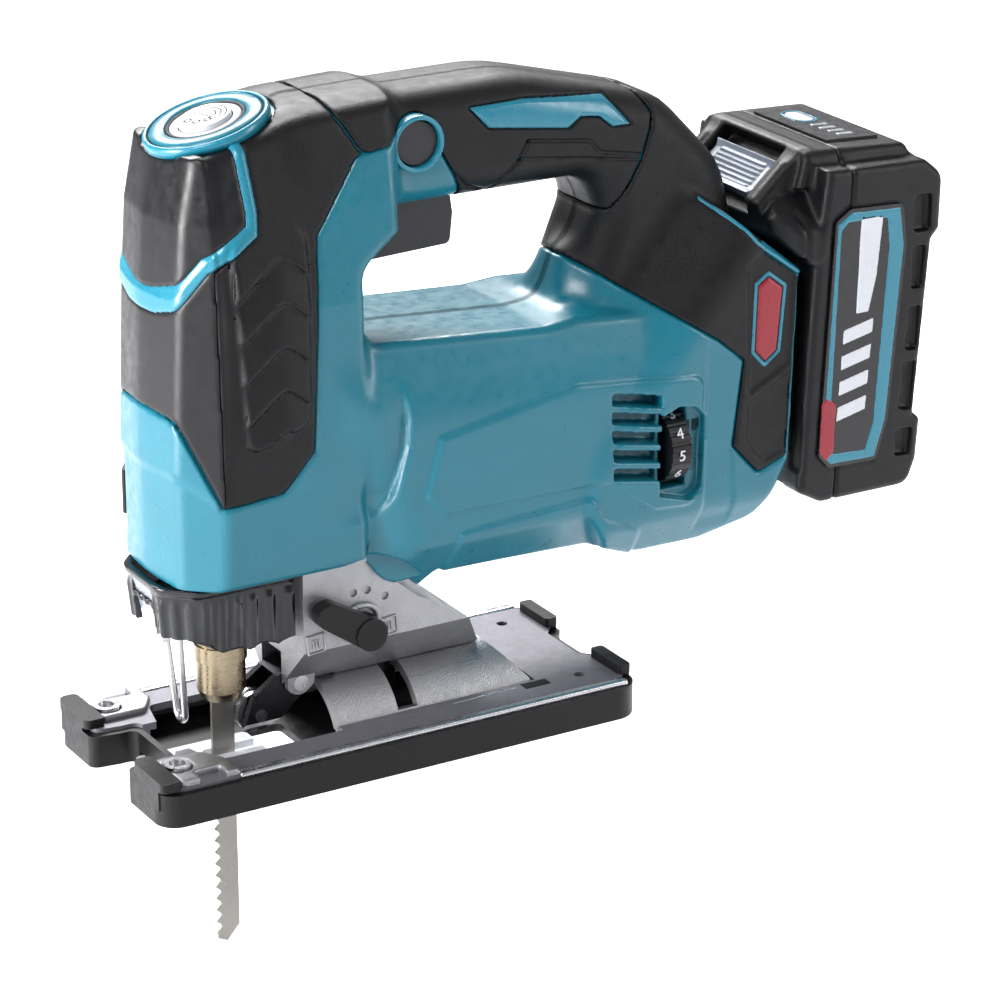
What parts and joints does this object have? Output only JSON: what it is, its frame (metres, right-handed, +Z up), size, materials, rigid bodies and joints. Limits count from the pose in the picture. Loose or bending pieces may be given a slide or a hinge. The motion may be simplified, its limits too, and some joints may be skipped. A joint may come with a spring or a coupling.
{
  "type": "cordless jigsaw",
  "caption": "Cordless D-handle jigsaw with a tilting shoe, orbital blade guide, keyless blade holder and slide-on battery.",
  "frame": {"origin": "where the blade's axis crosses the flat underside of the shoe", "axes": "-X forward, the way it saws; +Y to the tool's right; +Z up"},
  "size_m": [0.2788, 0.077, 0.2717],
  "materials": {
    "teal_shell": "moulded, fine texture",
    "black_rubber": "soft overmould, fine grain",
    "black_plastic": "moulded, fine texture",
    "grey_plastic": "moulded",
    "battery_case": "moulded, spark texture",
    "latch_grey": "satin",
    "cast_aluminium": "bead blasted",
    "plate_steel": "pressed and plated",
    "hard_steel": "ground",
    "screw_steel": "black oxide",
    "nickel": "satin nickel",
    "bronze": "sintered",
    "copper": "enamelled wire",
    "blade_steel": "ground teeth",
    "iron": "laminated",
    "smoke_clear": "smoked polycarbonate",
    "lens_clear": "moulded lens",
    "insert_plastic": "moulded",
    "panel_white": "printed film",
    "badge_red": "printed film",
    "label_film": "printed film",
    "cell_wrap": "shrink sleeve over steel cans"
  },
  "bodies": {
    "tool": {"gear_housing": "cast_aluminium", "lower_plunger_bush": "bronze", "upper_plunger_bush": "bronze", "bevel_clamp_bolt": "screw_steel", "motor_stator": "iron", "stator_coils": "copper", "front_motor_bearing": "hard_steel", "rear_motor_bearing": "hard_steel", "rear_motor_bracket": "grey_plastic", "crank_bearing": "hard_steel", "arm_pivot_pin": "hard_steel", "wire_guard": "hard_steel", "chip_cover": "smoke_clear", "speed_pot": "grey_plastic", "display_panel": "panel_white", "trigger_switch": "black_plastic", "controller": "grey_plastic", "led_lens": "lens_clear", "housing_left": "teal_shell", "housing_right": "teal_shell", "housing_screws": "screw_steel", "grip_left": "black_rubber", "grip_right": "black_rubber", "nose_pads": "black_rubber", "nose_front_pad": "black_rubber", "rear_badges": "badge_red", "battery_rail": "black_plastic"},
    "shoe": {"shoe_cover": "black_plastic", "anti_splinter_insert": "insert_plastic", "shoe_plate": "plate_steel", "bevel_saddle": "plate_steel", "shoe_screws": "screw_steel"},
    "rotor": {"motor_pinion": "hard_steel", "rotor_shaft": "hard_steel", "rotor_magnets": "iron", "cooling_fan": "grey_plastic"},
    "crank": {"crank_gear": "hard_steel", "crank_pin": "hard_steel", "crank_shaft": "hard_steel"},
    "plunger": {"plunger_rod": "hard_steel", "scotch_yoke": "hard_steel", "blade_holder": "nickel", "saw_blade": "blade_steel"},
    "balance": {"counterweight": "hard_steel"},
    "swing_arm": {"roller_arm": "nickel", "roller_pin": "hard_steel"},
    "roller": {"guide_roller": "hard_steel"},
    "trigger_body": {"trigger": "grey_plastic"},
    "lock": {"lock_button": "black_plastic"},
    "mode_key": {"mode_button": "panel_white"},
    "dial": {"speed_dial": "grey_plastic"},
    "orbit_lever": {"orbital_lever": "black_plastic"},
    "release": {"blade_release_lever": "black_plastic"},
    "battery": {"battery_case_front": "battery_case", "battery_case_rear": "battery_case", "battery_cells": "cell_wrap", "fuel_gauge": "label_film", "battery_terminals": "bronze", "battery_labels": "label_film"},
    "latch": {"battery_latch_button": "latch_grey"}
  },
  "joints": [
    {"name": "shoe_bevel", "type": "hinge", "parent": "tool", "child": "shoe", "pos_m": [0.045, 0, 0.0015], "axis": [1, 0, 0], "range_deg": [-45, 45]},
    {"name": "crank_spin", "type": "hinge", "parent": "tool", "child": "crank", "pos_m": [0.025, 0, 0.117], "axis": [1, 0, 0], "continuous": true},
    {"name": "rotor_spin", "type": "hinge", "parent": "tool", "child": "rotor", "pos_m": [0.06, 0, 0.092], "axis": [1, 0, 0], "continuous": true},
    {"name": "plunger_stroke", "type": "slide", "parent": "tool", "child": "plunger", "axis": [0, 0, 1], "range_m": [0, 0.026]},
    {"name": "balance_stroke", "type": "slide", "parent": "tool", "child": "balance", "axis": [0, 0, -1], "range_m": [0, 0.013]},
    {"name": "roller_arm_swing", "type": "hinge", "parent": "tool", "child": "swing_arm", "pos_m": [0.023, 0, 0.023], "axis": [0, -1, 0], "range_deg": [0, 5], "stiffness_Nm_per_rad": 1, "springref_deg": -5.73},
    {"name": "roller_spin", "type": "hinge", "parent": "swing_arm", "child": "roller", "pos_m": [0.0103, 0, 0.014], "axis": [0, 1, 0], "continuous": true},
    {"name": "trigger_pull", "type": "hinge", "parent": "tool", "child": "trigger_body", "pos_m": [0.042, 0, 0.1762], "axis": [0, -1, 0], "range_deg": [0, 6], "stiffness_Nm_per_rad": 1.5, "springref_deg": -3.44},
    {"name": "lock_press", "type": "slide", "parent": "tool", "child": "lock", "axis": [0, 1, 0], "range_m": [0, 0.004], "stiffness_N_per_m": 400, "springref_m": -0.002},
    {"name": "mode_press", "type": "slide", "parent": "tool", "child": "mode_key", "axis": [0.2756, 0, -0.9613], "range_m": [0, 0.0005], "stiffness_N_per_m": 1000, "springref_m": -0.001},
    {"name": "speed_turn", "type": "hinge", "parent": "tool", "child": "dial", "pos_m": [0.1432, -0.025, 0.0845], "axis": [1, 0, 0], "range_deg": [-112, 112]},
    {"name": "orbit_select", "type": "hinge", "parent": "tool", "child": "orbit_lever", "pos_m": [0.037, -0.026, 0.0435], "axis": [0, 1, 0], "range_deg": [0, 103]},
    {"name": "release_pull", "type": "hinge", "parent": "tool", "child": "release", "pos_m": [-0.01, 0.0315, 0.085], "axis": [0, 0, -1], "range_deg": [0, 55], "stiffness_Nm_per_rad": 0.02, "springref_deg": -17.19},
    {"name": "battery_slide", "type": "slide", "parent": "tool", "child": "battery", "axis": [0.042, 0, 0.9991], "range_m": [0, 0.07]},
    {"name": "latch_press", "type": "slide", "parent": "battery", "child": "latch", "axis": [-0.7593, 0, -0.6508], "range_m": [0, 0.003], "stiffness_N_per_m": 500, "springref_m": -0.002}
  ],
  "couplings": [
    {"joint": "rotor_spin", "follows": "crank_spin", "ratio": -4},
    {"joint": "balance_stroke", "follows": "plunger_stroke", "ratio": 0.5}
  ]
}
